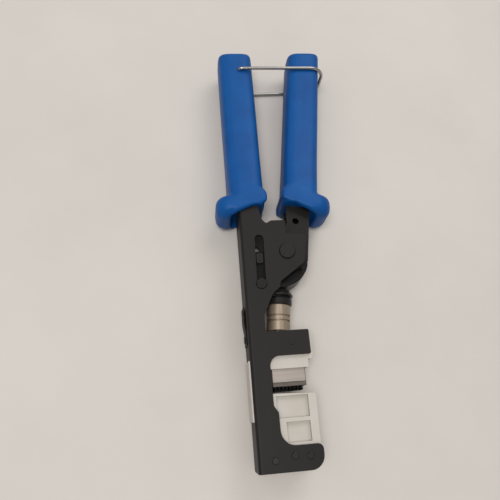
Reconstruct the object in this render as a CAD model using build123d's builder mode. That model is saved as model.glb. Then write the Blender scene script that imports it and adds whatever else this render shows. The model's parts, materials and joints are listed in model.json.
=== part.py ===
"""Jack-termination crimping tool: a folded steel frame with a fixed handle, a swinging lever whose
cam drives a sprung ram, a white jack nest at the foot, blue grips and a wire bail.

The tool lies on its back: X runs across it, Y along it towards the handles, Z up through it.
Shapes are drawn in tool coordinates: X from the outer face of the spine, Y from the end of the foot.
"""
import os
from math import cos, radians, sin

from build123d import *

os.makedirs("parts", exist_ok=True)

# ---------------------------------------------------------------- driving dimensions (mm, degrees)
LENGTH = 250.0                  # end of the foot to the ends of the grips
THICKNESS = 29.0                # over the finger guards, and the height of the tool as it lies
MID_X = 24.9                    # middle of the footprint, in tool coordinates
MID_Y = LENGTH / 2
MID_Z = THICKNESS / 2

SHEET = 2.0                     # frame sheet
FRAME_DEPTH = 22.0
TANG_WIDTH = 10.9               # fixed handle inside its grip
TANG_END = 240.0

PIVOT = (25.3, 112.0)
PIVOT_R = 3.5
PIVOT_HEAD_R = 4.6
RUNNING = 0.06                  # radial clearance of a pin that turns or slides
GAP = 0.3                       # clearance between parts that only pass each other

LEVER_DEPTH = 13.6
LEVER_SHEET = 1.8
LEVER_HOLE = (32.9, 131.3)
LEVER_HOLE_R = 1.9
CAM_R = 20.0                    # cam radius at CAM_ZERO degrees from straight down
CAM_ZERO = -14.0
CAM_DROP = 0.09                 # loss of cam radius for each degree
CAM_FIRST, CAM_LAST = -20.0, 64.0

RAM_LEAN = 5.5                  # the ram leans this far from the spine, towards the pivot
RAM_POINT = (18.7, 79.0)        # a point on the ram's axis
ROD_R = 3.0
SLEEVE_R = 6.4
SLEEVE_FOOT = 69.4
COLLAR_R = 7.5
CAP_R = 7.9
CAP_TOP = 92.3

NEST_TOP = 36.9
BLADE_TIP = 37.9
BLADE_COUNT = 8

GRIP_DEPTH = 23.8
GRIP_EDGE_R = 6.0
GRIP_END_R = 6.4
HANDLE_LEAN = 7.77              # the moving handle leans this far from the spine at rest

WIRE_R = 1.0
BAIL_PIVOT = (7.0, 232.7)
BAIL_REACH = 61.4               # centre of the wire beyond the moving grip
BAIL_HALF = 13.4                # arms' distance from the middle plane
BAIL_CORNER_R = 9.2

frame_back = MID_Z - FRAME_DEPTH / 2
frame_front = MID_Z + FRAME_DEPTH / 2
inner_back = frame_back + SHEET
inner_front = frame_front - SHEET
lever_back = MID_Z - LEVER_DEPTH / 2
lever_front = MID_Z + LEVER_DEPTH / 2
inner_depth = inner_front - inner_back


# ---------------------------------------------------------------- placing and drawing helpers
def level(z):
    """A plane at height z whose sketch coordinates are tool coordinates."""
    return Plane(origin=(-MID_X, -MID_Y, z))


def ram_plane(y):
    """A plane across the ram where its axis passes height y along the tool; its x is across."""
    lean = radians(RAM_LEAN)
    x = RAM_POINT[0] + (y - RAM_POINT[1]) * sin(lean) / cos(lean)
    return Plane(origin=(x - MID_X, y - MID_Y, MID_Z), x_dir=(cos(lean), -sin(lean), 0),
                 z_dir=(sin(lean), cos(lean), 0))


def along_ram(low, high):
    """Length along the leaning axis between two heights."""
    return (high - low) / cos(radians(RAM_LEAN))


def cam_point(angle, inset=0.0):
    """Point of the cam spiral, angle in degrees from straight below the pivot."""
    r = CAM_R - CAM_DROP * (angle - CAM_ZERO) - inset
    return (PIVOT[0] + r * sin(radians(angle)), PIVOT[1] - r * cos(radians(angle)))


def polar(r, angle):
    return (PIVOT[0] + r * sin(radians(angle)), PIVOT[1] - r * cos(radians(angle)))


def steps(low, high, count):
    return [low + (high - low) * i / count for i in range(count + 1)]


def save(builder, name):
    builder.part.label = name
    export_step(builder.part, f"parts/{name}.step")


# ---------------------------------------------------------------- folded frame
NEST_RIVETS = [(8.6, 5.6), (18.3, 7.3), (26.1, 6.7)]
NEST_RIVET_R = 1.3
TAB_PIN = (22.6, 62.0)
TAB_PIN_R = 1.3
SLOT_MID = (9.9, 107.0)
SLOT_WIDTH = 4.9
SLOT_SPAN = 25.6                # between the centres of the slot's round ends
SLOT_LEAN = 1.6
STOP_RIVET = (SLOT_MID[0] - SLOT_SPAN / 2 * sin(radians(SLOT_LEAN)),
              SLOT_MID[1] - SLOT_SPAN / 2 * cos(radians(SLOT_LEAN)))
STOP_RIVET_R = SLOT_WIDTH / 2
WINDOW = (23.8, 54.0)           # opening in the spine, along the tool
CLIP_RIVET_Y = 66.0
CLIP_RIVET_R = 1.2

# (x, y, corner radius) around the side plates, from the heel of the foot
plate_outline = [
    (0, 0, 0), (32.8, 0, 7), (32.8, 11.8, 2.6), (12.3, 11.8, 7.4), (12.3, 27.6, 1.5),
    (10.1, 30.8, 2), (10.1, 55.5, 5.4), (32.0, 55.5, 0.8), (32.0, 68.2, 0.8), (9.3, 68.2, 1),
    (9.3, 76.5, 6), (15.2, 88.6, 8), (19.2, 91.6, 1.5), (20.1, 95.0, 1), (34.4, 105.3, 2),
    (37.2, 121.0, 1.5), (25.6, 122.7, 0.6), (26.0, 130.6, 1), (17.8, 130.6, 1),
    (15.0, 129.0, 1.2), (12.9, 131.4, 2), (TANG_WIDTH, 140.4, 3), (TANG_WIDTH, TANG_END, 2),
    (0, TANG_END, 0),
]

with BuildPart() as frame_channel:
    with BuildSketch(level(frame_back)):
        with BuildLine():
            FilletPolyline(*[(x, y) for x, y, r in plate_outline],
                           radius=[r for x, y, r in plate_outline], close=True)
        make_face()
    extrude(amount=FRAME_DEPTH)
    bends = frame_channel.edges().filter_by(Axis.Y).group_by(Axis.X)[0]
    fillet(bends, radius=1.9)
    with BuildSketch(level(inner_back)):
        with Locations((SHEET, -5)):
            Rectangle(60, LENGTH + 10, align=(Align.MIN, Align.MIN))
    extrude(amount=inner_depth, mode=Mode.SUBTRACT)
    with BuildSketch(level(inner_back)):
        with Locations((-1, WINDOW[0])):
            Rectangle(SHEET + 2, WINDOW[1] - WINDOW[0], align=(Align.MIN, Align.MIN))
    extrude(amount=inner_depth, mode=Mode.SUBTRACT)
    with BuildSketch(level(frame_back)):
        with Locations(Location(SLOT_MID, 90 - SLOT_LEAN)):
            SlotCenterToCenter(SLOT_SPAN, SLOT_WIDTH)
        with Locations(PIVOT):
            Circle(PIVOT_R)
        with Locations(*NEST_RIVETS):
            Circle(NEST_RIVET_R)
        with Locations(TAB_PIN):
            Circle(TAB_PIN_R)
        with Locations(BAIL_PIVOT):
            Circle(WIRE_R + RUNNING)
    extrude(amount=FRAME_DEPTH, mode=Mode.SUBTRACT)
    with BuildSketch(Plane(origin=(-MID_X - 1, CLIP_RIVET_Y - MID_Y, MID_Z), z_dir=(1, 0, 0))):
        Circle(CLIP_RIVET_R)
    extrude(amount=SHEET + 2, mode=Mode.SUBTRACT)
save(frame_channel, "frame_channel")


# ---------------------------------------------------------------- rivets through the tool
CAM_RIVET_R = 1.5
CAM_RIVETS = [polar(9.0, -2), polar(9.0, 36)]

# name, centres, shank radius, head radius, rise of the head, back, front
rivets = [
    ("pivot_pin", [PIVOT], PIVOT_R, PIVOT_HEAD_R, 1.0, frame_back, frame_front),
    ("nest_rivets", NEST_RIVETS, NEST_RIVET_R, 1.75, 0.5, frame_back, frame_front),
    ("tab_pin", [TAB_PIN], TAB_PIN_R, 1.6, 0.3, frame_back, frame_front),
    ("cam_rivets", CAM_RIVETS, CAM_RIVET_R, 2.2, 0.25, lever_back, lever_front),
]
for name, centres, shank_r, head_r, rise, back, front in rivets:
    with BuildPart() as rivet:
        with BuildSketch(level(back)):
            with Locations(*centres):
                Circle(shank_r)
        extrude(amount=front - back)
        for z, away in ((front, 1), (back, -1)):
            with BuildSketch(level(z)):
                with Locations(*centres):
                    Circle(head_r)
            extrude(amount=away * rise, taper=30)
    save(rivet, name)

with BuildPart() as slot_stops:
    for outer, way in ((frame_front, 1), (frame_back, -1)):
        stop_plane = Plane(origin=(STOP_RIVET[0] - MID_X, STOP_RIVET[1] - MID_Y, outer),
                           z_dir=(0, 0, way))
        with BuildSketch(stop_plane.offset(-SHEET)):
            Circle(STOP_RIVET_R - 0.02)
        extrude(amount=SHEET)
        with BuildSketch(stop_plane):
            Circle(3.1)
        extrude(amount=0.9, taper=25)
save(slot_stops, "slot_stops")

with BuildPart() as spine_clip:
    with BuildSketch(level(MID_Z - 5.5)):
        with BuildLine():
            Polyline((0, 62.5), (0, 69.0), (-0.75, 75.0), (-0.7, 83.0), (-1.2, 83.0),
                     (-1.3, 75.0), (-0.6, 69.0), (-0.6, 62.5), close=True)
        make_face()
    extrude(amount=11.0)
    with BuildSketch(Plane(origin=(-MID_X - 2, CLIP_RIVET_Y - MID_Y, MID_Z), z_dir=(1, 0, 0))):
        Circle(CLIP_RIVET_R)
    extrude(amount=4, mode=Mode.SUBTRACT)
save(spine_clip, "spine_clip")

with BuildPart() as clip_rivet:
    clip_plane = Plane(origin=(-MID_X - 0.6, CLIP_RIVET_Y - MID_Y, MID_Z), z_dir=(1, 0, 0))
    with BuildSketch(clip_plane):
        Circle(CLIP_RIVET_R)
    extrude(amount=0.6 + SHEET)
    with BuildSketch(clip_plane):
        Circle(2.2)
    extrude(amount=-0.7, taper=25)
save(clip_rivet, "clip_rivet")


# ---------------------------------------------------------------- white jack nest and punch guide
NEST_Z = 20.9                   # floor of the jack recess
PLASTIC_FIT = 0.1               # between the mouldings and the side plates
white_back = inner_back + PLASTIC_FIT
white_front = inner_front - PLASTIC_FIT
white_depth = white_front - white_back

nest_outline = [
    (SHEET, 0.8, 0), (32.0, 0.8, 7.0), (32.6, NEST_TOP - 1.0, 0.6), (9.9, NEST_TOP, 0.5), (9.9, 54.2, 0.5),
    (SHEET, 54.2, 0),
]

with BuildPart() as jack_nest:
    with BuildSketch(level(white_back)):
        with BuildLine():
            FilletPolyline(*[(x, y) for x, y, r in nest_outline],
                           radius=[r for x, y, r in nest_outline], close=True)
        make_face()
    extrude(amount=white_depth)
    with BuildSketch(level(white_back)):
        with Locations((-0.7, WINDOW[0] + 0.1)):
            Rectangle(SHEET + 0.7, WINDOW[1] - WINDOW[0] - 0.2, align=(Align.MIN, Align.MIN))
    extrude(amount=white_depth)
    with BuildSketch(level(NEST_Z)):
        with Locations((11.9, 24.8)):
            Rectangle(16.3, 10.6, align=(Align.MIN, Align.MIN))
        with Locations((16.0, 13.2)):
            Rectangle(12.0, 9.6, align=(Align.MIN, Align.MIN))
    extrude(amount=20, mode=Mode.SUBTRACT)
    with BuildSketch(level(white_back)):
        with Locations(*NEST_RIVETS):
            Circle(NEST_RIVET_R)
    extrude(amount=white_depth, mode=Mode.SUBTRACT)
save(jack_nest, "jack_nest")

BLOCK_X = (11.0, 28.7)
BLOCK_Z = (7.7, 21.3)
BLOCK_BOTTOM = 42.3
BLOCK_TOP = 53.0
POCKET_TOP = 57.4

guide_outline = [
    (10.3, 48.9, 0), (30.4, 48.9, 0.5), (30.4, 53.0, 0), (32.5, 53.0, 0.8), (33.4, 56.0, 1),
    (33.4, 67.4, 0.8), (SHEET, 67.4, 0), (SHEET, 54.5, 0), (10.3, 54.5, 0),
]

with BuildPart() as punch_guide:
    with BuildSketch(level(white_back)):
        with BuildLine():
            FilletPolyline(*[(x, y) for x, y, r in guide_outline],
                           radius=[r for x, y, r in guide_outline], close=True)
        make_face()
    extrude(amount=white_depth)
    with BuildSketch(level(BLOCK_Z[0] - 0.4)):
        with Locations((BLOCK_X[0] - 0.4, 40)):
            Rectangle(BLOCK_X[1] - BLOCK_X[0] + 1.2, POCKET_TOP - 40, align=(Align.MIN, Align.MIN))
    extrude(amount=BLOCK_Z[1] - BLOCK_Z[0] + 0.8, mode=Mode.SUBTRACT)
    with BuildSketch(ram_plane(56.0)):
        Circle(5.2)
    extrude(amount=along_ram(56.0, 70.0), mode=Mode.SUBTRACT)
    with BuildSketch(level(white_back)):
        with Locations(TAB_PIN):
            Circle(TAB_PIN_R)
    extrude(amount=white_depth, mode=Mode.SUBTRACT)
save(punch_guide, "punch_guide")

with BuildPart() as ram_bush:
    with BuildSketch(ram_plane(58.8)):
        Circle(5.2)
        Circle(ROD_R + RUNNING, mode=Mode.SUBTRACT)
    extrude(amount=along_ram(58.8, 67.9))
    with BuildSketch(level(white_back)):
        with Locations(TAB_PIN):
            Circle(TAB_PIN_R + 0.05)
    extrude(amount=white_depth, mode=Mode.SUBTRACT)
save(ram_bush, "ram_bush")


# ---------------------------------------------------------------- ram
with BuildPart() as plunger_rod:
    with BuildSketch(ram_plane(50.0)):
        Circle(ROD_R)
    extrude(amount=along_ram(50.0, 90.6))
    chamfer(plunger_rod.edges().group_by(Axis.Y)[-1], length=0.5)
    with Locations((ram_plane(51.6).origin.X, 51.6 - MID_Y, MID_Z)):
        Cylinder(1.2, 30, mode=Mode.SUBTRACT)
save(plunger_rod, "plunger_rod")

GROOVES = (74.8, 77.6)
with BuildPart() as ram_sleeve:
    with BuildSketch(ram_plane(SLEEVE_FOOT)):
        Circle(SLEEVE_R)
    extrude(amount=along_ram(SLEEVE_FOOT, 83.7))
    chamfer(ram_sleeve.edges().filter_by(GeomType.CIRCLE), length=0.3)
    with BuildSketch(ram_plane(SLEEVE_FOOT)):
        Circle(5.0)
    extrude(amount=along_ram(SLEEVE_FOOT, 80.9), mode=Mode.SUBTRACT)
    with BuildSketch(ram_plane(SLEEVE_FOOT)):
        Circle(ROD_R)
    extrude(amount=along_ram(SLEEVE_FOOT, 90.0), mode=Mode.SUBTRACT)
    for middle in GROOVES:
        with BuildSketch(ram_plane(middle - 0.5)):
            Circle(SLEEVE_R + 1)
            Circle(SLEEVE_R - 0.8, mode=Mode.SUBTRACT)
        extrude(amount=1.0, mode=Mode.SUBTRACT)
save(ram_sleeve, "ram_sleeve")

with BuildPart() as ram_collar:
    with BuildSketch(ram_plane(83.7)):
        Circle(COLLAR_R)
    extrude(amount=along_ram(83.7, 87.2))
    chamfer(ram_collar.edges().filter_by(GeomType.CIRCLE), length=0.4)
    with BuildSketch(ram_plane(83.0)):
        Circle(ROD_R)
    extrude(amount=8, mode=Mode.SUBTRACT)
save(ram_collar, "ram_collar")

with BuildPart() as plunger_cap:
    with BuildSketch(ram_plane(88.6)):
        Circle(CAP_R)
    extrude(amount=along_ram(88.6, 89.4))
    with BuildSketch(ram_plane(89.4)):
        Circle(CAP_R)
    extrude(amount=along_ram(89.4, CAP_TOP), taper=34)
    crown = plunger_cap.edges().filter_by(GeomType.CIRCLE).group_by(Axis.Y)[-1]
    fillet(crown, radius=0.8)
    with BuildSketch(ram_plane(88.0)):
        Circle(ROD_R)
    extrude(amount=along_ram(88.0, 90.6), mode=Mode.SUBTRACT)
save(plunger_cap, "plunger_cap")

STRAP_SHEET = 1.5
GUIDE_BLOCK = (9.8, 108.8)
strap_front = inner_front - 0.35
strap_back = inner_back + 0.35
with BuildPart() as guide_yoke:
    with BuildSketch(ram_plane(87.2)):
        Circle(6.6)
        with Locations((-7.4, 0)):
            Rectangle(9.0, strap_front - strap_back)
    extrude(amount=along_ram(87.2, 88.6))
    for z in (strap_back, strap_front - STRAP_SHEET):
        with BuildSketch(level(z)):
            with BuildLine():
                FilletPolyline((7.2, 88.0), (15.2, 87.2), (13.4, 97.0), (13.7, 113.2), (6.4, 113.2),
                               (5.4, 95.0), radius=[0, 0, 4, 3, 3, 3], close=True)
            make_face()
            with Locations(Location(GUIDE_BLOCK, -SLOT_LEAN)):
                RectangleRounded(SLOT_WIDTH - 1.2, 5.6, 1.2, mode=Mode.SUBTRACT)
        extrude(amount=STRAP_SHEET)
    with BuildSketch(ram_plane(86.0)):
        Circle(ROD_R)
    extrude(amount=5, mode=Mode.SUBTRACT)
save(guide_yoke, "guide_yoke")

with BuildPart() as guide_block:
    with BuildSketch(level(frame_back + 0.8)):
        with Locations(Location(GUIDE_BLOCK, -SLOT_LEAN)):
            RectangleRounded(SLOT_WIDTH - 1.2, 5.6, 1.2)
    extrude(amount=FRAME_DEPTH - 1.6)
save(guide_block, "guide_block")

with BuildPart() as punch_block:
    with BuildSketch(level(BLOCK_Z[0])):
        with Locations((BLOCK_X[0], BLOCK_BOTTOM)):
            Rectangle(BLOCK_X[1] - BLOCK_X[0], BLOCK_TOP - BLOCK_BOTTOM, align=(Align.MIN, Align.MIN))
    extrude(amount=BLOCK_Z[1] - BLOCK_Z[0])
    chamfer(punch_block.edges().filter_by(Axis.Y), length=0.4)
    with BuildSketch(ram_plane(50.0)):
        Circle(ROD_R)
    extrude(amount=10, mode=Mode.SUBTRACT)
    with Locations((ram_plane(51.6).origin.X, 51.6 - MID_Y, MID_Z)):
        Cylinder(1.2, 30, mode=Mode.SUBTRACT)
save(punch_block, "punch_block")

with BuildPart() as rod_pin:
    with Locations((ram_plane(51.6).origin.X, 51.6 - MID_Y, MID_Z)):
        Cylinder(1.2, BLOCK_Z[1] - BLOCK_Z[0] - 1.0)
save(rod_pin, "rod_pin")

HOLDER_BOTTOM = 40.2
with BuildPart() as blade_holder:
    with BuildSketch(level(BLOCK_Z[0] + 0.5)):
        with Locations((BLOCK_X[0] + 0.2, HOLDER_BOTTOM)):
            Rectangle(BLOCK_X[1] - BLOCK_X[0] - 0.2, BLOCK_BOTTOM - HOLDER_BOTTOM,
                      align=(Align.MIN, Align.MIN))
    extrude(amount=BLOCK_Z[1] - BLOCK_Z[0] - 1.0)
save(blade_holder, "blade_holder")

blade_pitch = 1.95
with BuildPart() as punch_blades:
    for n in range(BLADE_COUNT):
        x = 12.6 + n * blade_pitch
        with BuildSketch(level(BLOCK_Z[0] + 2.2)):
            with BuildLine():
                Polyline((x - 0.6, HOLDER_BOTTOM), (x - 0.6, BLADE_TIP + 0.5), (x - 0.35, BLADE_TIP),
                         (x, BLADE_TIP + 0.8), (x + 0.35, BLADE_TIP), (x + 0.6, BLADE_TIP + 0.5),
                         (x + 0.6, HOLDER_BOTTOM), close=True)
            make_face()
        extrude(amount=10.0)
save(punch_blades, "punch_blades")

SPRING_R = 4.1
with BuildPart() as return_spring:
    spring_foot = ram_plane(68.6)
    with BuildLine() as coil:
        Helix(pitch=2.3, height=along_ram(68.6, 79.6), radius=SPRING_R, center=spring_foot.origin,
              direction=spring_foot.z_dir)
    with BuildSketch(Plane(origin=coil.line @ 0, z_dir=coil.line % 0)):
        Circle(0.45)
    sweep(is_frenet=True)
save(return_spring, "return_spring")


# ---------------------------------------------------------------- lever
def handle_x(y):
    """Middle of the moving handle at height y along the tool."""
    return 38.65 + 0.1364 * (y - 158.0)


TANG_HALF = 5.8
LEVER_END = 237.0
lever_right = [(37.4, 107.6), (handle_x(140) + TANG_HALF, 140), (handle_x(LEVER_END) + TANG_HALF, LEVER_END)]
lever_left = [(handle_x(LEVER_END) - TANG_HALF, LEVER_END), (handle_x(150) - TANG_HALF, 150), (28.4, 143),
              (28.2, 131), (18.0, 116.5), (18.0, 106), (19.6, 98)]
cam_angles = steps(CAM_FIRST, CAM_LAST, 10)
WINDOW_R = 11.4                 # cheeks are cut back from here out to the cam face
WINDOW_LAST = 40
CAM_RIM = LEVER_SHEET + 0.5

with BuildPart() as lever_channel:
    with BuildSketch(level(lever_back)):
        with BuildLine():
            Spline(*[cam_point(a) for a in cam_angles])
            Polyline(cam_point(CAM_LAST), *lever_right, *lever_left, cam_point(CAM_FIRST))
        make_face()
    extrude(amount=LEVER_DEPTH)
    with BuildSketch(level(lever_back + LEVER_SHEET)):
        with BuildLine():
            Spline(*[cam_point(a, LEVER_SHEET) for a in cam_angles])
            Polyline(cam_point(CAM_LAST, LEVER_SHEET), *[(x - LEVER_SHEET, y) for x, y in lever_right],
                     (handle_x(LEVER_END) - LEVER_SHEET, LEVER_END + 5), (-20, LEVER_END + 5),
                     (-20, cam_point(CAM_FIRST, LEVER_SHEET)[1]), cam_point(CAM_FIRST, LEVER_SHEET))
        make_face()
    extrude(amount=LEVER_DEPTH - 2 * LEVER_SHEET, mode=Mode.SUBTRACT)
    window_angles = steps(-12, WINDOW_LAST, 8)
    with BuildSketch(level(lever_back)):
        with BuildLine():
            Spline(*[cam_point(a, CAM_RIM) for a in window_angles])
            Line(cam_point(WINDOW_LAST, CAM_RIM), polar(WINDOW_R, WINDOW_LAST))
            Spline(*[polar(WINDOW_R, a) for a in reversed(window_angles)])
            Line(polar(WINDOW_R, -12), cam_point(-12, CAM_RIM))
        make_face()
        with Locations(PIVOT):
            Circle(5.0)
        with Locations(LEVER_HOLE):
            Circle(LEVER_HOLE_R)
        with Locations(*CAM_RIVETS):
            Circle(CAM_RIVET_R)
    extrude(amount=LEVER_DEPTH, mode=Mode.SUBTRACT)
save(lever_channel, "lever_channel")

with BuildPart() as cam_plates:
    plate_angles = steps(-17, 48, 8)
    for z in (MID_Z - 4.2, MID_Z + 1.8):
        with BuildSketch(level(z)):
            with BuildLine():
                Spline(*[cam_point(a, LEVER_SHEET + 0.05) for a in plate_angles])
                Line(cam_point(48, LEVER_SHEET + 0.05), polar(6.9, 48))
                Spline(*[polar(6.9, a) for a in reversed(plate_angles)])
                Line(polar(6.9, -17), cam_point(-17, LEVER_SHEET + 0.05))
            make_face()
            with Locations(*CAM_RIVETS):
                Circle(CAM_RIVET_R, mode=Mode.SUBTRACT)
        extrude(amount=2.4)
save(cam_plates, "cam_plates")

with BuildPart() as pivot_bush:
    with BuildSketch(level(lever_back)):
        with Locations(PIVOT):
            Circle(5.0)
            Circle(PIVOT_R + RUNNING, mode=Mode.SUBTRACT)
    extrude(amount=LEVER_DEPTH)
save(pivot_bush, "pivot_bush")

WASHER_SHEET = 1.8
with BuildPart() as pivot_washers:
    for z in (lever_back - WASHER_SHEET, lever_front):
        with BuildSketch(level(z)):
            with Locations(PIVOT):
                Circle(6.5)
                Circle(PIVOT_R + RUNNING, mode=Mode.SUBTRACT)
        extrude(amount=WASHER_SHEET)
save(pivot_washers, "pivot_washers")


# ---------------------------------------------------------------- blue grips
# (across, along, corner radius) of a finger guard; across is positive away from the other handle
guard_outline = [
    (10.0, 7.6, 0), (18.0, 5.8, 5.6), (18.0, -6.9, 6.2), (9.0, -6.9, 1.6), (8.7, -4.9, 0.6),
    (-6.0, 1.9, 2), (-11.4, 2.4, 2.4), (-11.4, 7.4, 2.2), (-8.6, 10.8, 0),
]
GUARD_EDGE_R = 1.4
fixed_grip_sides = [(-5.2, 139.5), (-4.8, LENGTH), (16.3, LENGTH), (15.4, 139.5)]
moving_grip_sides = [(26.0, 142.0), (40.7, LENGTH), (61.4, LENGTH), (47.2, 138.0)]
fixed_pocket = [(-0.05, 120), (13.2, 120), (13.2, 131.0), (11.05, 140.6), (11.05, TANG_END + 0.3),
                (-0.05, TANG_END + 0.3)]
moving_pocket = [(36.0, 100)] + [(x + 0.05, y) for x, y in lever_right[:2]] + [
    (handle_x(LEVER_END + 0.3) + TANG_HALF + 0.05, LEVER_END + 0.3),
    (handle_x(LEVER_END + 0.3) - TANG_HALF - 0.05, LEVER_END + 0.3)
] + [(x - 0.05, y) for x, y in lever_left[1:4]] + [(28.15, 100)]

grips = [
    ("fixed_grip", fixed_grip_sides, fixed_pocket, (5.4, 140.0), 0.0, -1, frame_back, frame_front),
    ("moving_grip", moving_grip_sides, moving_pocket, (36.2, 140.0), HANDLE_LEAN, 1, lever_back, lever_front),
]
for name, sides, pocket, guard_at, lean, hand, pocket_back, pocket_front in grips:
    guard_plane = Plane(origin=(guard_at[0] - MID_X, guard_at[1] - MID_Y, 0),
                        x_dir=(cos(radians(lean)), -sin(radians(lean)), 0), z_dir=(0, 0, 1))
    with BuildPart() as guard:
        with BuildSketch(guard_plane):
            with BuildLine():
                FilletPolyline(*[(hand * u, v) for u, v, r in guard_outline],
                               radius=[r for u, v, r in guard_outline], close=True)
            make_face()
        extrude(amount=THICKNESS)
        fillet(guard.faces().filter_by(Axis.Z).edges(), radius=GUARD_EDGE_R)
    with BuildPart() as grip:
        with BuildSketch(level(MID_Z - GRIP_DEPTH / 2)):
            with BuildLine():
                FilletPolyline(*sides, radius=[0, GRIP_END_R, GRIP_END_R, 0], close=True)
            make_face()
        extrude(amount=GRIP_DEPTH)
        rims = grip.faces().filter_by(Axis.Z).edges()
        fillet(rims.filter_by(lambda edge: edge.center().Y > 145 - MID_Y), radius=GRIP_EDGE_R)
        add(guard.part)
        with BuildSketch(level(pocket_back - 0.05)):
            with BuildLine():
                Polyline(*pocket, close=True)
            make_face()
        extrude(amount=pocket_front - pocket_back + 0.1, mode=Mode.SUBTRACT)
        if name == "fixed_grip":
            with Locations((BAIL_PIVOT[0] - MID_X, BAIL_PIVOT[1] - MID_Y, MID_Z)):
                Cylinder(WIRE_R + GAP, THICKNESS, mode=Mode.SUBTRACT)
    save(grip, name)


# ---------------------------------------------------------------- wire bail
with BuildPart() as latch_bail:
    bail_plane = Plane(origin=(-MID_X, BAIL_PIVOT[1] - MID_Y, MID_Z), x_dir=(1, 0, 0), z_dir=(0, -1, 0))
    hook = BAIL_HALF - 5.6
    with BuildLine(bail_plane) as wire_path:
        FilletPolyline((BAIL_PIVOT[0], hook), (BAIL_PIVOT[0], BAIL_HALF), (BAIL_REACH, BAIL_HALF),
                       (BAIL_REACH, -BAIL_HALF), (BAIL_PIVOT[0], -BAIL_HALF), (BAIL_PIVOT[0], -hook),
                       radius=[2, BAIL_CORNER_R, BAIL_CORNER_R, 2])
    with BuildSketch(Plane(origin=wire_path.line @ 0, z_dir=wire_path.line % 0)):
        Circle(WIRE_R)
    sweep()
save(latch_bail, "latch_bail")
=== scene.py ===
"""Crimping tool: the looks of its frame, lever, ram, jack nest, dipped grips and wire bail."""
import json
from math import cos, pi, radians, sin

import bmesh
import bpy
from bpy.props import FloatProperty, FloatVectorProperty, IntProperty, PointerProperty
from bpy.types import Operator, Panel, PropertyGroup
from mathutils import Matrix, Vector


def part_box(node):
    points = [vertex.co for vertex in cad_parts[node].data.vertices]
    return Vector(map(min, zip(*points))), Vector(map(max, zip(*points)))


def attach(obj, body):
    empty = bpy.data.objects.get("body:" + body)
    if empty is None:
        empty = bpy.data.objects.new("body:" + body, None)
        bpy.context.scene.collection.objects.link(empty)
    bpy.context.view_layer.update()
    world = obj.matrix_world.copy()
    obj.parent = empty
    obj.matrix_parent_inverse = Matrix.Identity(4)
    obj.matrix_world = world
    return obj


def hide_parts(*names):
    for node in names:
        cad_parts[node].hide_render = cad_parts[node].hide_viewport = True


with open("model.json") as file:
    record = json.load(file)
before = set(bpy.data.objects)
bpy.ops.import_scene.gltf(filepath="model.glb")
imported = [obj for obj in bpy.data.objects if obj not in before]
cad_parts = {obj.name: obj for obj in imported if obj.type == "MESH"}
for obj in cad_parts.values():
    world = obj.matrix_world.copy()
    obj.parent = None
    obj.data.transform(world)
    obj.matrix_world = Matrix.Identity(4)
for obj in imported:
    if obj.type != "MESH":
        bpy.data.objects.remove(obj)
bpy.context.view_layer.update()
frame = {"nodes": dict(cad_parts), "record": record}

bl_info = {
    "name": "Crimping tool",
    "version": (1, 0, 0),
    "blender": (4, 5, 0),
    "location": "View3D > Sidebar > Tool maker",
    "description": "Dresses a jack crimping tool with its grips, wire bail, blades and finishes",
    "category": "Object",
}

MM = 0.001
NODES = frame["nodes"]


# ---------------------------------------------------------------- places read from the frame
def low(node):
    return Vector(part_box(node)[0])


def high(node):
    return Vector(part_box(node)[1])


def middle(node):
    return (low(node) + high(node)) / 2


def joint_place(name):
    """Where a joint's axis stands."""
    joint = next(j for j in frame["record"]["behaviour"]["joints"] if j["name"] == name)
    return Vector(joint["pos_m"])


# ---------------------------------------------------------------- settings
class GripSettings(PropertyGroup):
    """Sizes and colour of the dipped grips."""
    fixed_width: FloatProperty(name="Fixed grip width", description="Width across the fixed grip",
                               default=0.0213, unit="LENGTH")
    moving_width: FloatProperty(name="Moving grip width", description="Width across the moving grip",
                                default=0.0208, unit="LENGTH")
    squareness: FloatProperty(name="Squareness", description="2 is an oval section, 6 is nearly a rectangle",
                              default=4.2, min=2.0, max=8.0)
    end_round: FloatProperty(name="End rounding", description="Length over which the closed end rounds off",
                             default=0.0052, unit="LENGTH")
    skin_step: FloatProperty(name="Skin step", description="Size of the faces of the moulded skin",
                             default=0.00075, unit="LENGTH")
    smoothing: IntProperty(name="Smoothing", description="How far the dip has run over the edges",
                           default=10, min=0, max=40)
    colour: FloatVectorProperty(name="Vinyl", description="Colour of the dipped vinyl", subtype="COLOR",
                                size=4, default=(0.002, 0.068, 0.262, 1.0))


class BailSettings(PropertyGroup):
    """Sizes of the wire bail."""
    wire_radius: FloatProperty(name="Wire radius", description="Half the wire's thickness",
                               default=0.001, unit="LENGTH")
    corner: FloatProperty(name="Corner radius", description="Radius of the bail's two far corners",
                          default=0.0092, unit="LENGTH")


class BladeSettings(PropertyGroup):
    """The row of punch blades."""
    count: IntProperty(name="Blades", description="Number of blades in the row", default=8, min=1)
    thickness: FloatProperty(name="Blade width", description="Width of one blade along the row",
                             default=0.0009, unit="LENGTH")
    seed: IntProperty(name="Seed", description="Changes how the blades differ in length", default=4)


class FinishSettings(PropertyGroup):
    """Colours of the other materials."""
    coat: FloatVectorProperty(name="Black coat", description="Colour of the coated steel", subtype="COLOR",
                              size=4, default=(0.0105, 0.0098, 0.0098, 1.0))
    moulding: FloatVectorProperty(name="Moulding", description="Colour of the white mouldings",
                                  subtype="COLOR", size=4, default=(0.475, 0.45, 0.417, 1.0))
    ram: FloatVectorProperty(name="Ram steel", description="Colour of the turned sleeve", subtype="COLOR",
                             size=4, default=(0.37, 0.292, 0.217, 1.0))


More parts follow.
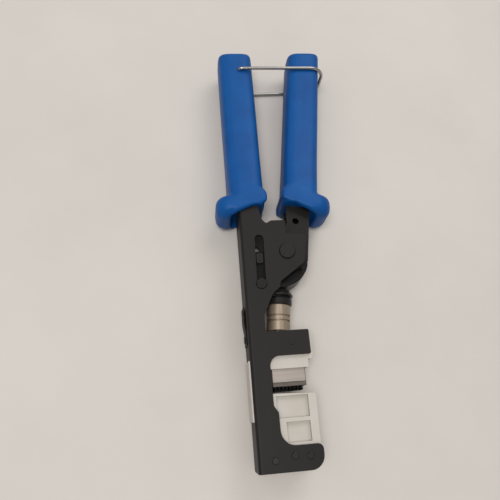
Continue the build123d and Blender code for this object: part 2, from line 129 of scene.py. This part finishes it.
class StageSettings(PropertyGroup):
    """Floor, lights and camera."""
    floor_colour: FloatVectorProperty(name="Floor", description="Colour of the floor", subtype="COLOR",
                                      size=4, default=(0.578, 0.542, 0.508, 1.0))
    camera_place: FloatVectorProperty(name="Camera", description="Where the camera stands",
                                      subtype="TRANSLATION", unit="LENGTH", size=3,
                                      default=(-0.05035, -0.10023, 0.28417))
    camera_aim: FloatVectorProperty(name="Aim", description="Point on the floor at the middle of the view",
                                    subtype="TRANSLATION", unit="LENGTH", size=3,
                                    default=(-0.01724, -0.00271, 0.0))
    heading: FloatProperty(name="Heading", description="Turn of the view's top from +Y towards +X",
                           subtype="ANGLE", default=radians(4.58))
    lens: FloatProperty(name="Lens", description="Focal length, for a frame 36 mm wide",
                        subtype="DISTANCE_CAMERA", default=36.0)


# ---------------------------------------------------------------- shader maths
class Value:
    """An output of a shader node, which can be used in sums."""

    def __init__(self, finish, socket):
        self.finish = finish
        self.socket = socket

    def maths(self, operation, first, second=0.0):
        return self.finish.node("ShaderNodeMath", {"operation": operation}, {0: first, 1: second})

    def __add__(self, other):
        return self.maths("ADD", self, other)

    __radd__ = __add__

    def __mul__(self, other):
        return self.maths("MULTIPLY", self, other)

    __rmul__ = __mul__

    def __sub__(self, other):
        return self.maths("SUBTRACT", self, other)

    def __rsub__(self, other):
        return self.maths("SUBTRACT", other, self)


class Finish:
    """A material being made: its nodes, and what its surface reads."""

    def __init__(self, name, colour, roughness, metallic=0.0, specular=0.5):
        self.material = bpy.data.materials.new(name)
        self.material.use_nodes = True
        self.tree = self.material.node_tree
        self.surface = self.tree.nodes["Principled BSDF"]
        self.surface.inputs["Base Color"].default_value = tuple(colour)
        self.surface.inputs["Roughness"].default_value = roughness
        self.surface.inputs["Metallic"].default_value = metallic
        self.surface.inputs["Specular IOR Level"].default_value = specular
        self.place = self.node("ShaderNodeTexCoord", output="Object")

    def node(self, kind, settings=None, inputs=None, output=0):
        """One node: its settings first, then its sockets' values or links."""
        node = self.tree.nodes.new(kind)
        for key, value in (settings or {}).items():
            setattr(node, key, value)
        for key, value in (inputs or {}).items():
            if isinstance(value, Value):
                self.tree.links.new(value.socket, node.inputs[key])
            else:
                node.inputs[key].default_value = value
        return Value(self, node.outputs[output])

    def stretched(self, scale, turn=(0.0, 0.0, 0.0)):
        return self.node("ShaderNodeMapping", {}, {"Vector": self.place, "Scale": scale, "Rotation": turn})

    def noise(self, scale, detail=3.0, rough=0.55, stretch=(1.0, 1.0, 1.0), turn=(0.0, 0.0, 0.0)):
        """Soft noise about 0.5; scale counts its features in a metre."""
        return self.node("ShaderNodeTexNoise", {}, {"Vector": self.stretched(stretch, turn), "Scale": scale,
                                                    "Detail": detail, "Roughness": rough})

    def specks(self, scale, size):
        """1 inside small round specks, 0 elsewhere."""
        distance = self.node("ShaderNodeTexVoronoi", {}, {"Vector": self.place, "Scale": scale})
        return self.between(distance, size, size * 0.55)

    def between(self, value, start, end):
        """0 at start and 1 at end, held beyond them."""
        return self.node("ShaderNodeMapRange", {"clamp": True},
                         {"Value": value, "From Min": start, "From Max": end})

    def mixed(self, factor, first, second):
        """A colour between two colours."""
        return self.node("ShaderNodeMix", {"data_type": "RGBA"}, {0: factor, 6: first, 7: second}, 2)

    def edges(self, radius):
        """Normals rounded over sharp edges, and a mask that is 1 on those edges."""
        rounded = self.node("ShaderNodeBevel", {"samples": 4}, {"Radius": radius})
        flat = self.node("ShaderNodeNewGeometry", output="True Normal")
        along = self.node("ShaderNodeVectorMath", {"operation": "DOT_PRODUCT"},
                          {0: rounded, 1: flat}, "Value")
        return rounded, self.between(along, 0.985, 0.86)

    def bump(self, height, depth, normal=None):
        """The normal over a height whose full range is depth metres."""
        inputs = {"Height": height, "Distance": depth, "Strength": 1.0}
        if normal:
            inputs["Normal"] = normal
        return self.node("ShaderNodeBump", {}, inputs)

    def wear(self, **sockets):
        """Feeds the surface's sockets."""
        for name, value in sockets.items():
            socket = self.surface.inputs[name.replace("_", " ")]
            self.tree.links.new(value.socket, socket)
        return self.material


def shade(colour, factor):
    return tuple(c * factor for c in colour[:3]) + (1.0,)


# ---------------------------------------------------------------- finishes
def coated_steel(name, colour, gloss=0.52, worn=0.5, specular=0.20, painted_shade_below=None):
    """Dark coated sheet: fine orange peel, rubbed edges, faint smears.

    Where the last argument gives a height along the tool, the sheet is painted darker below it: painted shade
    over the cam, on the lever.
    """
    finish = Finish(name, colour, gloss, specular=specular)
    rounded, edge = finish.edges(0.35 * MM)
    broken = finish.between(finish.noise(420.0, 4.0, 0.6), 0.40, 0.66)
    rubbed = edge * broken * worn
    smear = finish.noise(38.0, 3.0, 0.6, (1.0, 0.45, 1.0))
    warm = (colour[0] * 1.30, colour[1] * 1.10, colour[2] * 0.98, 1.0)
    tone = finish.mixed(finish.between(smear, 0.36, 0.66), shade(colour, 0.84), warm)
    scuffs = finish.between(finish.noise(900.0, 2.0, 0.5, (1.0, 0.06, 1.0), (0.0, 0.0, 0.5)), 0.70, 0.82)
    tone = finish.mixed(scuffs * 0.22, tone, (0.06, 0.057, 0.055, 1.0))
    tone = finish.mixed(rubbed, tone, (0.15, 0.142, 0.135, 1.0))
    # painted shade: below the given height the coat is painted down to 30 % of its colour, standing for the
    # shade over the cam
    if painted_shade_below is not None:
        height = finish.node("ShaderNodeSeparateXYZ", {}, {"Vector": finish.place}, "Y")
        painted_shade_mask = finish.between(height + smear * 3.0 * MM, painted_shade_below, painted_shade_below - 4.0 * MM)
        tone = finish.mixed(painted_shade_mask * 0.8, tone, shade(colour, 0.30))
    rough = (smear - 0.5) * 0.22 + gloss - rubbed * 0.12 - scuffs * 0.06
    peel = finish.noise(2600.0, 2.0, 0.5)
    return finish.wear(Base_Color=tone, Roughness=rough, Metallic=rubbed * 0.8,
                       Normal=finish.bump(peel, 0.018 * MM, rounded))


def dipped_vinyl(colour):
    """Soft dipped vinyl: deep blue, faint mottling, a fine skin and a few handling marks."""
    finish = Finish("blue_vinyl", colour, 0.43, specular=0.17)
    mottle = finish.noise(55.0, 4.0, 0.55)
    light = (colour[0] * 1.2, colour[1] * 1.16, colour[2] * 1.10, 1.0)
    tone = finish.mixed(finish.between(mottle, 0.34, 0.68), shade(colour, 0.90), light)
    hand = finish.between(finish.noise(17.0, 3.0, 0.6, (1.0, 0.5, 1.0)), 0.50, 0.74)
    grime = finish.between(finish.noise(260.0, 5.0, 0.7), 0.60, 0.76) * hand
    tone = finish.mixed(grime * 0.35, tone, (0.02, 0.05, 0.12, 1.0))
    marks = finish.between(finish.noise(700.0, 2.0, 0.5, (1.0, 0.10, 1.0), (0.0, 0.0, 1.1)), 0.71, 0.80)
    tone = finish.mixed(marks * 0.12, tone, (0.12, 0.26, 0.52, 1.0))
    rough = 0.40 + mottle * 0.08 + hand * 0.07 - marks * 0.05
    skin = finish.noise(1500.0, 3.0, 0.55) * 0.6 + finish.noise(210.0, 2.0, 0.5) * 0.4
    return finish.wear(Base_Color=tone, Roughness=rough, Normal=finish.bump(skin, 0.035 * MM))


def white_moulding(colour):
    """Moulded white plastic: slightly rounded edges, faint yellowing and dark dust specks in cloudy patches.
    """
    finish = Finish("white_plastic", colour, 0.42, specular=0.45)
    rounded, edge = finish.edges(0.30 * MM)
    cloud = finish.noise(70.0, 4.0, 0.6)
    aged = (colour[0] * 0.97, colour[1] * 0.93, colour[2] * 0.86, 1.0)
    tone = finish.mixed(finish.between(cloud, 0.38, 0.70), colour, aged)
    specks = finish.specks(520.0, 0.10) * finish.between(cloud, 0.50, 0.62)
    tone = finish.mixed(specks * 0.35, tone, (0.30, 0.26, 0.22, 1.0))
    grain = finish.noise(1900.0, 3.0, 0.5)
    rough = 0.38 + cloud * 0.12 - edge * 0.06
    return finish.wear(Base_Color=tone, Roughness=rough, Normal=finish.bump(grain, 0.020 * MM, rounded))


def turned_steel(name, colour, stretch, turn=(0.0, 0.0, 0.0), gloss=0.28, streak=0.32, metallic=1.0):
    """Machined steel: fine lines along the tool's cut, streaks of tone, and edges painted lighter as a
    painted highlight.
    """
    finish = Finish(name, colour, gloss, metallic=metallic)
    rounded, edge = finish.edges(0.22 * MM)
    lines = finish.noise(2400.0, 3.0, 0.6, stretch, turn)
    bands = finish.noise(430.0, 3.0, 0.6, stretch, turn)
    tone = finish.mixed(finish.between(bands, 0.32, 0.70) * streak * 2.0, colour, shade(colour, 0.52))
    stain = finish.between(finish.noise(60.0, 4.0, 0.6), 0.56, 0.76)
    tone = finish.mixed(stain * 0.25, tone, (colour[0] * 0.62, colour[1] * 0.54, colour[2] * 0.46, 1.0))
    # painted highlight: every edge painted 15 % lighter, standing for edges catching the light
    tone = finish.mixed(edge * 0.35, tone, shade(colour, 1.15))
    rough = gloss - 0.06 + bands * 0.16 + stain * 0.10
    return finish.wear(Base_Color=tone, Roughness=rough, Normal=finish.bump(lines, 0.012 * MM, rounded))


def drawn_wire():
    """Bright drawn wire with lengthwise die marks and small nicks."""
    colour = (0.38, 0.365, 0.35, 1.0)
    finish = Finish("bail_wire", colour, 0.16, metallic=1.0)
    dull = finish.noise(120.0, 3.0, 0.6)
    nicks = finish.between(finish.noise(1300.0, 2.0, 0.5), 0.66, 0.74)
    tone = finish.mixed(finish.between(dull, 0.40, 0.72) * 0.5, colour, (0.30, 0.285, 0.27, 1.0))
    tone = finish.mixed(nicks * 0.5, tone, (0.26, 0.24, 0.22, 1.0))
    marks = finish.noise(3000.0, 2.0, 0.5, (0.05, 1.0, 1.0))
    rough = 0.12 + dull * 0.14 + nicks * 0.2
    return finish.wear(Base_Color=tone, Roughness=rough, Normal=finish.bump(marks, 0.0012 * MM))


def pressed_board():
    """Dark brown moulded strip that holds the blades."""
    colour = (0.085, 0.068, 0.054, 1.0)
    finish = Finish("blade_holder", colour, 0.5)
    rounded, edge = finish.edges(0.2 * MM)
    grain = finish.noise(900.0, 4.0, 0.6, (0.2, 1.0, 1.0))
    tone = finish.mixed(finish.between(grain, 0.35, 0.68), shade(colour, 0.72), shade(colour, 1.25))
    # painted highlight: every edge painted nearly twice as light, standing for edges catching the light
    tone = finish.mixed(edge * 0.3, tone, shade(colour, 1.9))
    return finish.wear(Base_Color=tone, Roughness=0.42 + grain * 0.2,
                       Normal=finish.bump(grain, 0.02 * MM, rounded))


def make_finishes(colours):
    """Every finish, by the name of the slot that it dresses."""
    lean = (0.0, 0.0, radians(5.5))
    return {
        "black_steel": coated_steel("black_steel", colours.coat),
        # lever finish: the coat painted darker below the lever's pivot height and made less glossy, as
        # painted shade over the cam
        "painted_shade_steel": coated_steel("painted_shade_steel", shade(colours.coat, 1.15), 0.38, 0.5, 0.13,
                                      joint_place("handle_swing").y),
        "black_fasteners": coated_steel("black_fasteners", shade(colours.coat, 1.25), 0.33, 0.7),
        # dark_steel: its darkness is partly the parts' own darker coat and partly painted shade, for the
        # guide yoke's strap that shows deep in the slot
        "dark_steel": coated_steel("dark_steel", (0.006, 0.006, 0.007, 1.0), 0.50, 0.30, 0.08),
        "blue_vinyl": dipped_vinyl(bpy.context.scene.crimper_grips.colour),
        "white_plastic": white_moulding(colours.moulding),
        "bare_steel": turned_steel("bare_steel", (0.60, 0.58, 0.55, 1.0), (1.0, 0.08, 1.0)),
        "ram_steel": turned_steel("ram_steel", colours.ram, (1.0, 0.04, 1.0), lean, 0.42, 0.42, 0.55),
        "block_steel": turned_steel("block_steel", (0.325, 0.288, 0.262, 1.0), (0.04, 1.0, 1.0), gloss=0.46,
                                    streak=0.26, metallic=0.6),
        "blade_holder": pressed_board(),
        "bail_wire": drawn_wire(),
    }


def finish_of(node):
    """The finish that a part of the tool wears."""
    return NODES[node].data.materials[0]


# ---------------------------------------------------------------- mesh helpers
def add_object(name, mesh, material):
    """A finished piece at the origin, with one material and smooth faces."""
    piece = bpy.data.objects.new(name, mesh)
    bpy.context.scene.collection.objects.link(piece)
    mesh.materials.clear()
    mesh.materials.append(material)
    mesh.polygons.foreach_set("use_smooth", [True] * len(mesh.polygons))
    return piece


def baked(piece):
    """The piece's mesh with its modifiers applied, and the modifiers removed."""
    evaluated = piece.evaluated_get(bpy.context.evaluated_depsgraph_get())
    mesh = bpy.data.meshes.new_from_object(evaluated)
    piece.modifiers.clear()
    old = piece.data
    piece.data = mesh
    bpy.data.meshes.remove(old)
    return piece


def lofted(shell, rings):
    """Skins closed rings of points, one after another, and closes both ends."""
    loops = [[shell.verts.new(point) for point in ring] for ring in rings]
    count = len(loops[0])
    for first, second in zip(loops, loops[1:]):
        for i in range(count):
            j = (i + 1) % count
            shell.faces.new((first[i], first[j], second[j], second[i]))
    shell.faces.new(reversed(loops[0]))
    shell.faces.new(loops[-1])


def oval(centre, across, half_width, half_depth, squareness, count=64):
    """A ring between an oval and a rectangle; across is a level unit vector, depth is along Z."""
    ring = []
    for i in range(count):
        angle = 2 * pi * i / count
        c, s = cos(angle), sin(angle)
        x = half_width * abs(c) ** (2 / squareness) * (1 if c > 0 else -1)
        z = half_depth * abs(s) ** (2 / squareness) * (1 if s > 0 else -1)
        ring.append(centre + across * x + Vector((0.0, 0.0, z)))
    return ring


# ---------------------------------------------------------------- dipped grips
class Handle:
    """One handle's run: where its grip starts and ends, which way is out, and its finger guard."""

    def __init__(self, node, body, start, end, outward, width, narrow):
        self.node = node
        self.body = body
        self.start = start
        self.end = end
        self.along = (end - start).normalized()
        self.out = Vector((self.along.y, -self.along.x, 0.0)) * outward
        self.level = Vector((outward, 0.0, 0.0))
        self.width = width
        self.narrow = narrow


# (out, along, corner radius) in mm round a finger guard, from the middle of the handle at the guard
GUARD = [
    (9.0, 8.6, 1.0), (18.0, 6.2, 5.8), (18.0, -6.0, 6.0), (9.1, -6.0, 1.8), (8.8, -4.8, 0.6),
    (-6.0, 1.9, 3.0), (-11.4, 2.4, 2.4), (-11.4, 7.6, 2.4), (-7.5, 12.0, 3.0),
]
LIP_ROUND, KNOB_ROUND = 1.3, 8.5  # mm, rounding of the guard's rim at the handle and at the knob
LIP_INSIDE = 0.74  # share of the half thickness at which the front and back lips end
LIP_FADE = 0.14  # share of the half thickness over which the saddle reaches its height
LIP_DROP = 1.0  # mm that the guard's lower edge is set below its outline
SADDLE = 4.4  # mm that the lower edge rises between the front and back lips
LOWER_EDGE = 4.0  # mm along the handle; points of the guard under it belong to its lower edge
KNOB_START, KNOB_FULL = 7.8, 9.4  # mm out from the handle's middle, where the knob's rounding takes over


def rounded_outline(corners, steps=6):
    """Points round a closed outline whose corners are arcs of the given radii."""
    points = []
    for i, (x, y, radius) in enumerate(corners):
        here = Vector((x, y))
        before = (Vector(corners[i - 1][:2]) - here).normalized()
        after = (Vector(corners[(i + 1) % len(corners)][:2]) - here).normalized()
        half = before.angle(after) / 2
        setback = radius * cos(half) / sin(half)
        first, last = here + before * setback, here + after * setback
        for step in range(steps + 1):
            t = step / steps
            points.append((1 - t) ** 2 * first + 2 * t * (1 - t) * here + t * t * last)
    return points


def saddle_share(point):
    """How much of the saddle a point of the guard takes: all at the handle, none at the knob."""
    return min(max((KNOB_FULL - point.x) / (KNOB_FULL - KNOB_START), 0.0), 1.0)


def guard_rings(handle, thickness):
    """Level rings of the finger guard, drawn in at its front and back so that its rim is round."""
    outline = rounded_outline(GUARD)
    centre = sum(outline, Vector((0.0, 0.0))) / len(outline)
    rings = []
    half = thickness / 2
    for step in range(21):
        t = -cos(pi * step / 20)
        z = half * (1 + t)
        ring = []
        for point in outline:
            share = saddle_share(point)
            edge = LIP_ROUND * share + KNOB_ROUND * (1 - share)
            reach = max((abs(t) - 1) * half / MM + edge, 0.0) / edge
            inset = edge * (1 - (1 - reach ** 2) ** 0.5)
            offset = point - centre
            moved = point - offset.normalized() * min(inset, offset.length * 0.45)
            if point.y < LOWER_EDGE:
                moved.y -= LIP_DROP * share
                moved.y += SADDLE * min(max((LIP_INSIDE - abs(t)) / LIP_FADE, 0.0), 1.0) * share
            place = handle.start + handle.out * moved.x * MM + handle.along * moved.y * MM
            ring.append(Vector((place.x, place.y, z)))
        rings.append(ring)
    return rings


GRIP_DEPTH = 23.8 * MM  # front to back
FLARE = 2.4 * MM  # how far the grip swells to meet the guard, each side
FLARE_START, FLARE_END = 8.0 * MM, 34.0 * MM  # along the grip, where the flare is full and where it is gone
END_POWER = 2.2  # shape of the closed end; 2 is round
THINNEST = 0.4 * MM  # least half width and half depth of a ring


def make_grip(handle, sizes):
    """A dipped grip: a rounded bar and a finger guard, run together into one skin."""
    box_low, box_high = low(handle.node), high(handle.node)
    thickness = box_high.z - box_low.z
    length = (handle.end - handle.start).length
    straight = length - sizes.end_round
    runs = [straight * step / 16 for step in range(16)]
    runs += [straight + sizes.end_round * sin(pi / 2 * step / 12) for step in range(13)]
    rings = []
    for run in runs:
        ease = 1.0
        if run > straight:
            ease = max(1 - ((run - straight) / sizes.end_round) ** END_POWER, 0.0) ** (1 / END_POWER)
        near_guard = min(max((FLARE_END - run) / (FLARE_END - FLARE_START), 0.0), 1.0)
        flare = FLARE * near_guard ** 2 * (3 - 2 * near_guard)
        swell = handle.narrow + (1 - handle.narrow) * min(run / (length * 0.55), 1.0) ** 0.8
        half = handle.width / 2 * swell
        tuck = sizes.end_round * 0.72 * (1 - ease)
        dome = sizes.end_round * 1.3 * max((run - straight) / sizes.end_round, 0.0) ** 1.25
        centre = handle.start + handle.along * run
        across = handle.out.lerp(handle.level, min(run / length, 1.0) ** 3)
        rings.append(oval(centre, across, max(half - tuck, THINNEST),
                          max(GRIP_DEPTH / 2 + flare - dome, THINNEST), sizes.squareness))
    shell = bmesh.new()
    lofted(shell, rings)
    lofted(shell, guard_rings(handle, thickness))
    bmesh.ops.recalc_face_normals(shell, faces=shell.faces)
    mesh = bpy.data.meshes.new(handle.node + "_skin")
    shell.to_mesh(mesh)
    shell.free()
    piece = add_object(handle.node + "_skin", mesh, finish_of(handle.node))
    remesh = piece.modifiers.new("skin", "REMESH")
    remesh.mode = "VOXEL"
    remesh.voxel_size = sizes.skin_step
    remesh.use_smooth_shade = True
    smooth = piece.modifiers.new("run", "SMOOTH")
    smooth.factor = 0.5
    smooth.iterations = sizes.smoothing
    baked(piece)
    piece.data.materials.clear()
    piece.data.materials.append(finish_of(handle.node))
    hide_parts(handle.node)
    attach(piece, handle.body)


# ---------------------------------------------------------------- blade row
def blade_tree():
    """A row of forked blades; their number, step, size and seed are inputs."""
    tree = bpy.data.node_groups.new("blade_row", "GeometryNodeTree")
    face = tree.interface
    face.new_socket("Geometry", in_out="INPUT", socket_type="NodeSocketGeometry")
    for name, kind in (("Count", "Int"), ("First", "Vector"), ("Step", "Vector"), ("Body", "Vector"),
                       ("Prong", "Vector"), ("Prong offset", "Vector"), ("Seed", "Int"),
                       ("Finish", "Material")):
        face.new_socket(name, in_out="INPUT", socket_type="NodeSocket" + kind)
    face.new_socket("Geometry", in_out="OUTPUT", socket_type="NodeSocketGeometry")
    nodes, links = tree.nodes, tree.links
    given = nodes.new("NodeGroupInput")
    row = nodes.new("GeometryNodeMeshLine")
    body = nodes.new("GeometryNodeMeshCube")
    prong = nodes.new("GeometryNodeMeshCube")
    left = nodes.new("GeometryNodeTransform")
    right = nodes.new("GeometryNodeTransform")
    mirror = nodes.new("ShaderNodeVectorMath")
    mirror.operation = "MULTIPLY"
    mirror.inputs[1].default_value = (-1.0, 1.0, 1.0)
    blade = nodes.new("GeometryNodeJoinGeometry")
    place = nodes.new("GeometryNodeInstanceOnPoints")
    vary = nodes.new("FunctionNodeRandomValue")
    vary.data_type = "FLOAT_VECTOR"
    vary.inputs[0].default_value = (0.92, 0.86, 0.90)
    vary.inputs[1].default_value = (1.0, 1.0, 1.0)
    real = nodes.new("GeometryNodeRealizeInstances")
    paint = nodes.new("GeometryNodeSetMaterial")
    made = nodes.new("NodeGroupOutput")
    for source, target in (
            (given.outputs["Count"], row.inputs["Count"]),
            (given.outputs["First"], row.inputs["Start Location"]),
            (given.outputs["Step"], row.inputs["Offset"]),
            (given.outputs["Body"], body.inputs["Size"]),
            (given.outputs["Prong"], prong.inputs["Size"]),
            (prong.outputs["Mesh"], left.inputs["Geometry"]),
            (prong.outputs["Mesh"], right.inputs["Geometry"]),
            (given.outputs["Prong offset"], left.inputs["Translation"]),
            (given.outputs["Prong offset"], mirror.inputs[0]),
            (mirror.outputs[0], right.inputs["Translation"]),
            (body.outputs["Mesh"], blade.inputs[0]),
            (left.outputs[0], blade.inputs[0]),
            (right.outputs[0], blade.inputs[0]),
            (row.outputs["Mesh"], place.inputs["Points"]),
            (blade.outputs[0], place.inputs["Instance"]),
            (given.outputs["Seed"], vary.inputs["Seed"]),
            (vary.outputs[0], place.inputs["Scale"]),
            (place.outputs[0], real.inputs[0]),
            (real.outputs[0], paint.inputs["Geometry"]),
            (given.outputs["Finish"], paint.inputs["Material"]),
            (paint.outputs[0], made.inputs[0])):
        links.new(source, target)
    return tree


# ---------------------------------------------------------------- operators
class CRIMPER_OT_finishes(Operator):
    """Make every finish and give each of the tool's parts its own"""
    bl_idname = "crimper.finishes"
    bl_label = "Finishes"

    def execute(self, context):
        finishes = make_finishes(context.scene.crimper_finishes)
        slots = {part["node"]: part["material_slot"] for part in frame["record"]["subparts"]}
        slots["punch_block"] = "block_steel"
        # the lever and the cam plates wear the finish with painted shade over the cam
        slots["lever_channel"] = slots["cam_plates"] = "painted_shade_steel"
        for name, part in NODES.items():
            part.data.materials.clear()
            part.data.materials.append(finishes[slots[name]])
        return {"FINISHED"}


class CRIMPER_OT_grips(Operator):
    """Make the two dipped grips with their finger guards"""
    bl_idname = "crimper.grips"
    bl_label = "Grips"

    def execute(self, context):
        sizes = context.scene.crimper_grips
        top = high("fixed_grip").y
        mid_z = middle("frame_channel").z
        spine = low("frame_channel").x
        fixed_x = spine + 5.4 * MM
        guard_y = low("fixed_grip").y + 6.9 * MM
        fixed = Handle("fixed_grip", "frame", Vector((fixed_x, guard_y, mid_z)),
                       Vector((fixed_x + 0.1 * MM, top, mid_z)), -1, sizes.fixed_width, 0.965)
        lean = radians(7.6)
        foot = Vector((spine + 36.2 * MM, guard_y, mid_z))
        run = (top - guard_y) / cos(lean)
        tip = foot + Vector((sin(lean), cos(lean), 0.0)) * run
        moving = Handle("moving_grip", "lever", foot, tip, 1, sizes.moving_width, 0.985)
        for handle in (fixed, moving):
            make_grip(handle, sizes)
        return {"FINISHED"}


class CRIMPER_OT_bail(Operator):
    """Make the wire bail that holds the handles closed"""
    bl_idname = "crimper.bail"
    bl_label = "Wire bail"

    def execute(self, context):
        sizes = context.scene.crimper_bail
        radius = sizes.wire_radius
        pivot = joint_place("bail_swing")
        box_low, box_high = low("latch_bail"), high("latch_bail")
        front, back = box_high.z - radius, box_low.z + radius
        far = box_high.x - radius
        inside = 5.5 * MM
        # (x, z, corner radius) along the wire, seen along the tool
        corners = [
            (pivot.x, front - inside, 0.0), (pivot.x, front, 2.0 * MM), (far, front - 0.4 * MM, sizes.corner),
            (far, back + 0.2 * MM, sizes.corner), (pivot.x, back, 2.0 * MM), (pivot.x, back + inside, 0.0),
        ]
        line = []
        for i, (x, z, corner) in enumerate(corners):
            here = Vector((x, z))
            if not corner:
                line.append(here)
                continue
            before = (Vector(corners[i - 1][:2]) - here).normalized()
            after = (Vector(corners[i + 1][:2]) - here).normalized()
            half = before.angle(after) / 2
            hub = here + (before + after).normalized() * corner / sin(half)
            first = here + before * corner * cos(half) / sin(half) - hub
            turn = pi - 2 * half
            sense = 1 if before.x * after.y - before.y * after.x < 0 else -1
            for step in range(13):
                line.append(hub + Matrix.Rotation(sense * turn * step / 12, 2) @ first)
        curve = bpy.data.curves.new("bail_line", "CURVE")
        curve.dimensions = "3D"
        curve.bevel_depth = radius
        curve.bevel_resolution = 6
        curve.use_fill_caps = True
        spline = curve.splines.new("POLY")
        spline.points.add(len(line) - 1)
        for point, flat in zip(spline.points, line):
            point.co = (flat.x, pivot.y, flat.y, 1.0)
        drawn = bpy.data.objects.new("bail_line", curve)
        context.scene.collection.objects.link(drawn)
        mesh = bpy.data.meshes.new_from_object(drawn.evaluated_get(context.evaluated_depsgraph_get()))
        bpy.data.objects.remove(drawn)
        shell = bmesh.new()
        shell.from_mesh(mesh)
        bmesh.ops.remove_doubles(shell, verts=shell.verts, dist=0.01 * MM)
        bmesh.ops.recalc_face_normals(shell, faces=shell.faces)
        shell.to_mesh(mesh)
        shell.free()
        piece = add_object("bail_wire", mesh, finish_of("latch_bail"))
        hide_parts("latch_bail")
        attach(piece, "bail")
        return {"FINISHED"}


class CRIMPER_OT_blades(Operator):
    """Make the row of forked punch blades under the punch block"""
    bl_idname = "crimper.blades"
    bl_label = "Punch blades"

    def execute(self, context):
        sizes = context.scene.crimper_blades
        start, end = low("punch_blades"), high("punch_blades")
        width, reach, depth = end - start
        step = (width - sizes.thickness * 1.3) / (sizes.count - 1)
        carrier = bpy.data.meshes.new("blade_row")
        piece = bpy.data.objects.new("blade_row", carrier)
        context.scene.collection.objects.link(piece)
        tree = blade_tree()
        modifier = piece.modifiers.new("blades", "NODES")
        modifier.node_group = tree
        prong = (sizes.thickness * 0.36, reach * 0.52, depth * 0.9)
        values = {
            "Count": sizes.count,
            "First": (start.x + sizes.thickness * 0.65, end.y - reach * 0.27, middle("punch_blades").z),
            "Step": (step, 0.0, 0.0),
            "Body": (sizes.thickness, reach * 0.54, depth),
            "Prong": prong,
            "Prong offset": (sizes.thickness * 0.46, -reach * 0.46, 0.0),
            "Seed": sizes.seed,
            "Finish": finish_of("punch_blades"),
        }
        for item in tree.interface.items_tree:
            if item.item_type == "SOCKET" and item.in_out == "INPUT" and item.name in values:
                modifier[item.identifier] = values[item.name]
        piece.update_tag()
        baked(piece)
        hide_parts("punch_blades")
        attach(piece, "ram")
        return {"FINISHED"}


class CRIMPER_OT_stage(Operator):
    """Make the floor, the soft lights and the camera"""
    bl_idname = "crimper.stage"
    bl_label = "Stage"

    def execute(self, context):
        sizes = context.scene.crimper_stage
        finish = Finish("floor", sizes.floor_colour, 0.62, specular=0.3)
        cloud = finish.noise(9.0, 5.0, 0.6)
        tone = finish.mixed(finish.between(cloud, 0.35, 0.70), sizes.floor_colour,
                            shade(sizes.floor_colour, 0.93))
        material = finish.wear(Base_Color=tone)
        shell = bmesh.new()
        bmesh.ops.create_grid(shell, x_segments=1, y_segments=1, size=3.0)
        mesh = bpy.data.meshes.new("floor")
        shell.to_mesh(mesh)
        shell.free()
        add_object("floor", mesh, material)

        world = context.scene.world or bpy.data.worlds.new("studio")
        context.scene.world = world
        world.use_nodes = True
        sky = world.node_tree.nodes["Background"]
        sky.inputs["Color"].default_value = (1.0, 0.985, 0.965, 1.0)
        sky.inputs["Strength"].default_value = 0.42
        # name, place, aim, size, power, colour
        lamps = [
            ("window", (0.45, 0.70, 0.95), 0.70, 5.0, (1.0, 0.985, 0.97)),
            ("ceiling", (-0.25, -0.18, 1.25), 0.45, 8.6, (1.0, 0.98, 0.95)),
            ("fill", (-0.60, 0.45, 0.80), 0.60, 0.7, (0.97, 0.98, 1.0)),
        ]
        for name, place, size, power, colour in lamps:
            data = bpy.data.lights.new(name, "AREA")
            data.size = size
            data.energy = power
            data.color = colour
            lamp = bpy.data.objects.new(name, data)
            lamp.location = place
            lamp.rotation_euler = (-Vector(place)).to_track_quat("-Z", "Y").to_euler()
            context.scene.collection.objects.link(lamp)

        data = bpy.data.cameras.new("camera")
        data.lens = sizes.lens
        data.sensor_width = 36.0
        data.clip_start = 0.01
        camera = bpy.data.objects.new("camera", data)
        context.scene.collection.objects.link(camera)
        place = Vector(sizes.camera_place)
        back = (place - Vector(sizes.camera_aim)).normalized()
        ahead = Vector((sin(sizes.heading), cos(sizes.heading), 0.0))
        right = ahead.cross(back).normalized()
        top = back.cross(right)
        turn = Matrix((right, top, back)).transposed().to_4x4()
        camera.matrix_world = Matrix.Translation(place) @ turn
        context.scene.camera = camera
        context.scene.view_settings.view_transform = "Standard"
        return {"FINISHED"}


class CRIMPER_PT_panel(Panel):
    """Lists the tool's sizes and the steps that make it"""
    bl_idname = "CRIMPER_PT_panel"
    bl_label = "Crimping tool"
    bl_space_type = "VIEW_3D"
    bl_region_type = "UI"
    bl_category = "Tool maker"

    def draw(self, context):
        for label, step, group in STEPS:
            box = self.layout.box()
            box.label(text=label)
            settings = getattr(context.scene, group)
            for name in type(settings).__annotations__:
                box.prop(settings, name)
            box.operator(step)


# label, operator, settings; in the order in which the pieces are made
STEPS = [
    ("Finishes", "crimper.finishes", "crimper_finishes"),
    ("Grips", "crimper.grips", "crimper_grips"),
    ("Wire bail", "crimper.bail", "crimper_bail"),
    ("Punch blades", "crimper.blades", "crimper_blades"),
    ("Stage", "crimper.stage", "crimper_stage"),
]
SETTINGS = {
    "crimper_finishes": FinishSettings,
    "crimper_grips": GripSettings,
    "crimper_bail": BailSettings,
    "crimper_blades": BladeSettings,
    "crimper_stage": StageSettings,
}
OPERATORS = (CRIMPER_OT_finishes, CRIMPER_OT_grips, CRIMPER_OT_bail, CRIMPER_OT_blades, CRIMPER_OT_stage)
CLASSES = (*SETTINGS.values(), *OPERATORS, CRIMPER_PT_panel)


def register():
    for kind in CLASSES:
        bpy.utils.register_class(kind)
    for name, kind in SETTINGS.items():
        setattr(bpy.types.Scene, name, PointerProperty(type=kind))


def unregister():
    for name in SETTINGS:
        delattr(bpy.types.Scene, name)
    for kind in reversed(CLASSES):
        bpy.utils.unregister_class(kind)


def main():
    register()
    bpy.ops.crimper.finishes()
    bpy.ops.crimper.grips()
    bpy.ops.crimper.bail()
    bpy.ops.crimper.blades()
    bpy.ops.crimper.stage()


if __name__ == "__main__":
    main()
